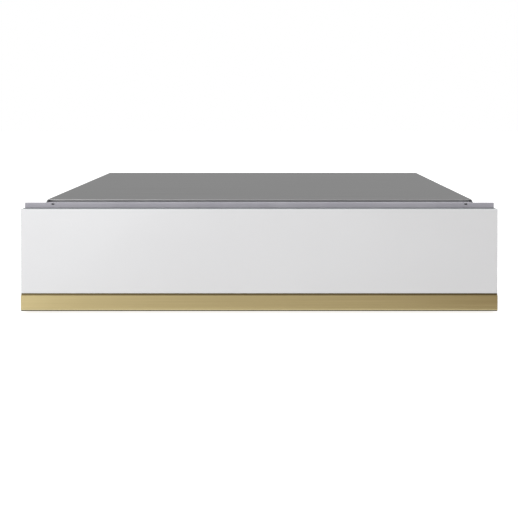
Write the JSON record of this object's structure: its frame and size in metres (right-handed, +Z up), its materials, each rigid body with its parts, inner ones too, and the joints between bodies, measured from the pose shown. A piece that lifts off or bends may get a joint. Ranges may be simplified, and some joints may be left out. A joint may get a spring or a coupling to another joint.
{
  "type": "warming drawer",
  "caption": "Built-in warming drawer with a white glass front, a gold trim bar along its lower edge, push-to-open drawer on ball runners and a hot-air blower in a steel casing.",
  "frame": {"origin": "under the middle of the appliance, in the plane that its base stands on", "axes": "+X to the right as the user faces it, -Y towards the user, +Z up"},
  "size_m": [0.595, 0.55, 0.14],
  "materials": {
    "white_glass": "back-painted, polished",
    "gold_trim": "gold anodised, satin",
    "casing_steel": "galvanised, fine brushed",
    "frame_steel": "grey powder coat",
    "carrier_steel": "galvanised",
    "tray_steel": "brushed stainless",
    "runner_zinc": "bright zinc plated",
    "cage_steel": "greased",
    "ball_steel": "polished",
    "screw_zinc": "zinc plated",
    "dark_silicone": "matt",
    "mat_silicone": "matt, ribbed",
    "mineral_wool": "fibrous",
    "black_plastic": "fine grain",
    "grey_plastic": "fine grain",
    "knob_plastic": "satin",
    "amber_lens": "clear amber",
    "blower_aluminium": "mill finish",
    "zinc_sheet": "galvanised",
    "lamination_steel": "blued",
    "coil_tape": "yellow tape",
    "bronze": "sintered",
    "heater_sheath": "oxidised",
    "spring_steel": "bright"
  },
  "bodies": {
    "casing": {"base_pan": "casing_steel", "left_side_panel": "casing_steel", "right_side_panel": "casing_steel", "rear_panel": "casing_steel", "top_cover": "casing_steel", "front_frame": "frame_steel", "front_gasket": "dark_silicone", "left_outer_rail": "runner_zinc", "right_outer_rail": "runner_zinc", "blower_housing": "zinc_sheet", "air_grille": "zinc_sheet", "blower_bush": "bronze", "motor_stack": "lamination_steel", "motor_coil": "coil_tape", "motor_bracket": "zinc_sheet", "heater": "heater_sheath", "thermal_cutout": "black_plastic", "latch_housing": "grey_plastic", "latch_spring": "spring_steel", "cable_gland": "black_plastic", "terminal_block": "grey_plastic", "casing_screws": "screw_zinc", "bay_screws": "screw_zinc"},
    "drawer": {"front_glass": "white_glass", "trim_bar": "gold_trim", "front_carrier": "carrier_steel", "front_insulation": "mineral_wool", "drawer_tray": "tray_steel", "nonslip_mat": "mat_silicone", "control_ledge": "tray_steel", "thermostat": "black_plastic", "switch_body": "black_plastic", "pilot_lens": "amber_lens", "latch_striker": "screw_zinc", "left_inner_rail": "runner_zinc", "right_inner_rail": "runner_zinc", "front_screws": "screw_zinc"},
    "knob": {"thermostat_knob": "knob_plastic", "thermostat_stem": "grey_plastic"},
    "rocker": {"power_rocker": "knob_plastic"},
    "blower": {"blower_wheel": "blower_aluminium", "blower_shaft": "ball_steel", "blower_rotor": "lamination_steel"},
    "plunger": {"latch_plunger": "black_plastic"},
    "left_middle": {"left_middle_rail": "runner_zinc"},
    "left_outer_cage": {"left_outer_cage": "cage_steel", "left_outer_balls": "ball_steel"},
    "left_inner_cage": {"left_inner_cage": "cage_steel", "left_inner_balls": "ball_steel"},
    "right_middle": {"right_middle_rail": "runner_zinc"},
    "right_outer_cage": {"right_outer_cage": "cage_steel", "right_outer_balls": "ball_steel"},
    "right_inner_cage": {"right_inner_cage": "cage_steel", "right_inner_balls": "ball_steel"}
  },
  "joints": [
    {"name": "drawer_slide", "type": "slide", "parent": "casing", "child": "drawer", "axis": [0, -1, 0], "range_m": [-0.003, 0.4]},
    {"name": "knob_turn", "type": "hinge", "parent": "drawer", "child": "knob", "pos_m": [0.205, -0.227, 0.107], "axis": [0, 0, -1], "range_deg": [0, 270]},
    {"name": "power_press", "type": "hinge", "parent": "drawer", "child": "rocker", "pos_m": [0.155, -0.227, 0.104], "axis": [0, 1, 0], "range_deg": [0, 20]},
    {"name": "blower_spin", "type": "hinge", "parent": "casing", "child": "blower", "pos_m": [-0.015, 0.222, 0.064], "axis": [1, 0, 0], "continuous": true},
    {"name": "latch_press", "type": "slide", "parent": "casing", "child": "plunger", "axis": [0, 1, 0], "range_m": [0, 0.0035], "stiffness_N_per_m": 600, "springref_m": -0.005, "deforming": ["latch_spring"]},
    {"name": "left_middle_slide", "type": "slide", "parent": "casing", "child": "left_middle", "axis": [0, -1, 0], "range_m": [-0.0015, 0.2]},
    {"name": "left_outer_cage_slide", "type": "slide", "parent": "casing", "child": "left_outer_cage", "axis": [0, -1, 0], "range_m": [-0.00075, 0.1]},
    {"name": "left_inner_cage_slide", "type": "slide", "parent": "casing", "child": "left_inner_cage", "axis": [0, -1, 0], "range_m": [-0.00225, 0.3]},
    {"name": "right_middle_slide", "type": "slide", "parent": "casing", "child": "right_middle", "axis": [0, -1, 0], "range_m": [-0.0015, 0.2]},
    {"name": "right_outer_cage_slide", "type": "slide", "parent": "casing", "child": "right_outer_cage", "axis": [0, -1, 0], "range_m": [-0.00075, 0.1]},
    {"name": "right_inner_cage_slide", "type": "slide", "parent": "casing", "child": "right_inner_cage", "axis": [0, -1, 0], "range_m": [-0.00225, 0.3]}
  ],
  "couplings": [
    {"joint": "left_middle_slide", "follows": "drawer_slide", "ratio": 0.5},
    {"joint": "left_outer_cage_slide", "follows": "drawer_slide", "ratio": 0.25},
    {"joint": "left_inner_cage_slide", "follows": "drawer_slide", "ratio": 0.75},
    {"joint": "right_middle_slide", "follows": "drawer_slide", "ratio": 0.5},
    {"joint": "right_outer_cage_slide", "follows": "drawer_slide", "ratio": 0.25},
    {"joint": "right_inner_cage_slide", "follows": "drawer_slide", "ratio": 0.75}
  ]
}
